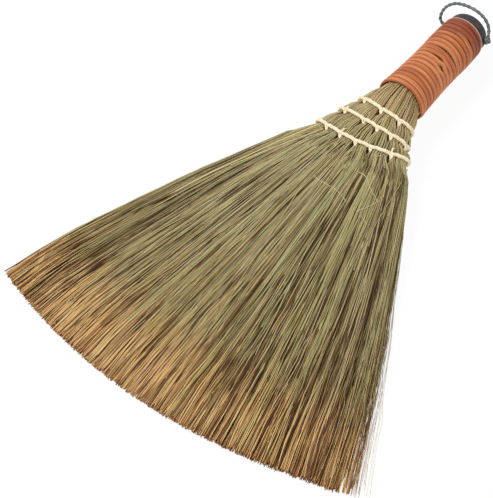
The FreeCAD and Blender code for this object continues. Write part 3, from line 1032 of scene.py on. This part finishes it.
# The legs of a stitch: to its side, along the broom, out of the fibres
stitch_legs = (
    (
        (-0.5, 0.4, 0.2),
        (-0.3, -0.7, 1.2),
        (0.5, -1.8, 1.2),
        (1.5, -2.9, 0.6),
        (2.0, -3.5, -0.2),
        (2.2, -3.9, -2.4),
    ),
    (
        (1.7, 0.4, 0.2),
        (1.8, -0.8, 1.2),
        (2.0, -2.0, 1.1),
        (2.0, -3.0, 0.5),
        (2.1, -3.7, -0.6),
        (2.2, -3.9, -2.4),
    ),
)

# Cut ends of twine that stand up from a row: row, stitch and route
twine_ends = (
    (1, 0, ((0.9, 0.3, 1.0), (1.3, 1.4, 1.5), (1.5, 2.6, 1.6))),
    (2, 1, ((0.3, 0.6, 1.2), (0.6, 2.2, 1.7), (1.0, 4.0, 1.6))),
    (2, 4, ((0.2, 0.6, 1.2), (-0.7, 2.4, 1.9), (-1.1, 4.0, 2.4))),
)


def beside_stitch(row, turn, route):
    """A route given beside a stitch, in the broom's place."""
    places = []
    for across, along, out in route:
        place = row_place(row, turn + across / turn_length(row, turn), out)
        places.append(place + Vector((0.0, along, 0.0)))
    return places


def stitch_routes(row):
    """The legs of each stitch, from under the band down into the gap, and the cut ends."""
    turns = stitch_turns(row)
    routes = [beside_stitch(row, turn, leg) for turn in turns for leg in stitch_legs]
    for end_row, place, end in twine_ends:
        if end_row == row:
            routes.append(beside_stitch(row, turns[place], end))
    return routes


def twine(tree):
    """Bands and stitches of the three rows."""
    band = in_metres(band_lay)
    leg = in_metres(stitch_lay)
    for row in range(3):
        number = str(row + 1)
        name = "twine_band_" + number
        mesh = grown(name, ((tree, band),), smooth_lines([band_route(row)], True))
        add_piece(name, mesh, BROOM, "cotton_twine", "stitch_band_" + number)
        name = "twine_stitches_" + number
        mesh = grown(name, ((tree, leg),), smooth_lines(stitch_routes(row)))
        add_piece(name, mesh, BROOM, "cotton_twine", "cross_stitches_" + number)


# The cord's route in the loop's own plane: across the broom, and out from the hole's axis
loop_route = (
    (12.0, 0.0),
    (-11.4, 0.0),
    (-22.2, 0.0),
    (-22.3, 10.6),
    (-16.0, 19.2),
    (-6.6, 22.2),
    (3.6, 22.2),
    (12.2, 18.6),
    (17.0, 11.6),
    (17.2, 4.6),
)
cord_hole_drop = 6.0


def loop_place(across, out, aside=0.0):
    """A point in the loop's plane, or beside it, in millimetres."""
    tilt = math.radians(loop_tilt)
    y = cap_high.y / MM - cord_hole_drop + out * math.cos(tilt) - aside * math.sin(tilt)
    z = handle_z + out * math.sin(tilt) + aside * math.cos(tilt)
    return (handle_x + across, y, z)


def hanging_loop(tree):
    """The twisted cord through the cap and its knot."""
    line = smooth_lines([[loop_place(*place) for place in loop_route]], order=3, steps=12)
    plies = in_metres(cord_lay)
    cord_mesh = grown("loop_cord", ((tree, plies),), line)
    cord = add_piece("loop_cord", cord_mesh, LOOP, "loop_cord", "hanging_loop")
    knot_route = []
    for number in range(knot_points):
        angle = 2 * math.pi * number / knot_points
        ring = knot_ring + knot_ring_swing * math.cos(3 * angle)
        across = knot_across + ring * math.cos(2 * angle)
        out = knot_out + knot_stretch * ring * math.sin(2 * angle)
        knot_route.append(loop_place(across, out, knot_depth * math.sin(3 * angle)))
    knot_line = smooth_lines([knot_route], True)
    knot_mesh = grown("cord_knot", ((tree, plies),), knot_line)
    knot = add_piece("cord_knot", knot_mesh, LOOP, "loop_cord", "loop_knot")
    exit_place = Vector(loop_place(cord_exit_across, 0.0)) * MM


# Handle

def wrap_tree(material):
    """A strip of cane wound round the handle."""
    sockets = (
        ("Turns", "Float"),
        ("Low Radius", "Float"),
        ("Top Radius", "Float"),
        ("Height", "Float"),
        ("Strip Width", "Float"),
        ("Strip Thickness", "Float"),
        ("Waist", "Float"),
    )
    tree, inputs, end = shape_tree("wound cane", sockets)
    spiral = place_node(tree, "GeometryNodeCurveSpiral")
    spiral.inputs["Resolution"].default_value = points_in_turn
    spiral.inputs["Reverse"].default_value = False
    feed(tree, inputs["Turns"], spiral.inputs["Rotations"])
    feed(tree, inputs["Low Radius"], spiral.inputs["Start Radius"])
    feed(tree, inputs["Top Radius"], spiral.inputs["End Radius"])
    feed(tree, inputs["Height"], spiral.inputs["Height"])
    upright = place_node(tree, "GeometryNodeSetCurveNormal", {0: output(tree, spiral)}, mode="Z_UP")
    point = output(tree, place_node(tree, "GeometryNodeSplineParameter"), "Index")
    line, kept = captured(tree, output(tree, upright), turn=point / float(points_in_turn))

    # The handle's waist, and turns that stand apart at the slits
    figure = curve_of(tree, kept["turn"] / inputs["Turns"], waist_figure)
    place = output(tree, place_node(tree, "GeometryNodeInputPosition"))
    flat = place_node(tree, "ShaderNodeVectorMath", {0: place, 1: (1.0, 1.0, 0.0)}, operation="MULTIPLY")
    outward = place_node(tree, "ShaderNodeVectorMath", {0: output(tree, flat)}, operation="NORMALIZE")
    swelling = (figure - 0.5) * inputs["Waist"]
    swollen = place_node(tree, "ShaderNodeVectorMath", {0: output(tree, outward)}, operation="SCALE")
    feed(tree, swelling, swollen.inputs["Scale"])
    apart = 0.0
    for middle, half_length, gap in wrap_slits:
        for level, way in ((middle, -0.5), (middle + 1.0, 0.5)):
            off = (kept["turn"] - level) / half_length
            apart = (off * off * -1.0).then("EXPONENT") * (way * gap * MM) + apart
    moved = place_node(tree, "ShaderNodeVectorMath", {0: output(tree, swollen)}, operation="ADD")
    feed(tree, vector_of(tree, 0.0, 0.0, apart), moved.inputs[1])
    waisted = place_node(tree, "GeometryNodeSetPosition", {0: line, "Offset": output(tree, moved)})
    line = output(tree, waisted)
    ring = place_node(tree, "GeometryNodeCurvePrimitiveCircle")
    ring.inputs["Resolution"].default_value = 18
    ring.inputs["Radius"].default_value = 1.0
    spot = place_node(tree, "GeometryNodeInputPosition")
    split = place_node(tree, "ShaderNodeSeparateXYZ", {0: output(tree, spot)})
    out = output(tree, split, 0)
    wide = output(tree, split, 1)
    ring, kept_side = captured(tree, output(tree, ring), side=wide)
    outside = out.then("MAXIMUM", 0.0).then("POWER", 0.75) * inputs["Strip Thickness"] * -1.0
    width = wide.then("SIGN") * wide.then("ABSOLUTE").then("POWER", 0.8) * inputs["Strip Width"] * -0.5
    shaped = place_node(tree, "GeometryNodeSetPosition", {0: ring})
    feed(tree, vector_of(tree, outside, width, 0.0), shaped.inputs["Position"])
    tube = place_node(tree, "GeometryNodeCurveToMesh", {0: line, "Scale": 1.0})
    feed(tree, output(tree, shaped), tube.inputs["Profile Curve"])
    tube.inputs["Fill Caps"].default_value = True
    along = (kept["turn"] + kept_side["side"] * (0.5 * strip_map_share) + 0.5) / (inputs["Turns"] + 1.0)
    of_face = place_node(tree, "GeometryNodeFieldOnDomain", {0: kept["turn"]}, domain="FACE")
    round_turn = kept["turn"] - output(tree, of_face).then("FLOOR")
    mapped = map_stored(tree, output(tree, tube), round_turn, along)
    finish_tree(tree, end, mapped, material)
    return tree


def cane_wrap(material):
    values = {
        "Turns": wrap_turns,
        "Low Radius": (wrap_low_radius - strip_thickness) * MM,
        "Top Radius": (wrap_top_radius - strip_thickness) * MM,
        "Height": wrap_pitch * wrap_turns * MM,
        "Strip Width": wrap_pitch * strip_width_share * MM,
        "Strip Thickness": strip_thickness * MM,
        "Waist": waist * MM,
    }
    mesh = grown("cane_wrap", ((wrap_tree(material), values),))
    upright = Matrix.Rotation(math.radians(-90), 4, "X")
    low_middle = Vector((handle_x, wrap_low_y + wrap_pitch / 2, handle_z)) * MM
    mesh.transform(Matrix.Translation(low_middle) @ upright)
    add_piece("cane_wrap", mesh, BROOM, "rattan_cane", "rattan_wrap")


def paint_nodes(names, material):
    """Gives CAD nodes that stay in view their finish."""
    for name in names:
        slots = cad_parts[name].data.materials
        slots.clear()
        slots.append(material)


# Floor, light and camera

def floor():
    mesh = bpy.data.meshes.new("floor")
    size = floor_half_size
    corners = ((-size, -size, 0), (size, -size, 0), (size, size, 0), (-size, size, 0))
    mesh.from_pydata(corners, [], [(0, 1, 2, 3)])
    material = bpy.data.materials.new("white_floor")
    material.use_nodes = True
    tree = material.node_tree
    tree.nodes.clear()
    plain = place_node(tree, "ShaderNodeBsdfDiffuse", {"Color": (0.9, 0.9, 0.9, 1.0)})
    glow = place_node(tree, "ShaderNodeEmission", {"Color": (1.0, 1.0, 1.0, 1.0), "Strength": 1.0})
    path = place_node(tree, "ShaderNodeLightPath")
    seen = output(tree, path, "Is Camera Ray").then("MAXIMUM", output(tree, path, "Is Glossy Ray"))
    seen = seen.then("MAXIMUM", output(tree, path, "Is Transmission Ray"))
    mix = place_node(tree, "ShaderNodeMixShader", {0: seen * floor_glow_share})
    tree.links.new(plain.outputs[0], mix.inputs[1])
    tree.links.new(glow.outputs[0], mix.inputs[2])
    end = tree.nodes.new("ShaderNodeOutputMaterial")
    tree.links.new(mix.outputs[0], end.inputs["Surface"])
    mesh.materials.append(material)
    piece = bpy.data.objects.new("floor", mesh)
    bpy.context.scene.collection.objects.link(piece)


def area_lamp(name, place, aim, size, power):
    lamp = bpy.data.lights.new(name, "AREA")
    lamp.size = size
    lamp.energy = power
    stand = bpy.data.objects.new(name, lamp)
    bpy.context.scene.collection.objects.link(stand)
    stand.location = place
    stand.rotation_euler = (Vector(aim) - Vector(place)).to_track_quat("-Z", "Y").to_euler()


def light():
    world = bpy.data.worlds.new("studio")
    bpy.context.scene.world = world
    world.use_nodes = True
    back = world.node_tree.nodes["Background"]
    back.inputs["Color"].default_value = (1.0, 1.0, 1.0, 1.0)
    back.inputs["Strength"].default_value = world_strength
    area_lamp("key", key_place, (0.0, 0.0, 0.0), key_size, key_power)
    area_lamp("fill", fill_place, (0.0, 0.0, 0.0), fill_size, fill_power)
    bpy.context.scene.view_settings.view_transform = "Standard"


def camera():
    azimuth = math.radians(camera_azimuth)
    elevation = math.radians(camera_elevation)
    back = Vector((
        math.sin(azimuth) * math.cos(elevation),
        -math.cos(azimuth) * math.cos(elevation),
        math.sin(elevation),
    ))
    data = bpy.data.cameras.new("camera")
    data.lens = camera_lens
    data.sensor_width = camera_sensor
    data.clip_start = 0.01
    eye = bpy.data.objects.new("camera", data)
    bpy.context.scene.collection.objects.link(eye)
    eye.location = (Vector(camera_target) + back * camera_distance) * MM
    eye.rotation_euler = (-back).to_track_quat("-Z", "Y").to_euler()
    bpy.context.scene.camera = eye


camera()
hanging_loop(strand_tree("laid cord", cord_material()))
cane_wrap(cane_material())
paint_nodes(["end_cap"], cap_material())
paint_nodes(["upper_binding", "lower_binding"], wire_material())
twine(strand_tree("laid twine", twine_material()))
grass = grass_material()
fibre_bundles(grass)
straws_on_top(grass)
floor()
light()
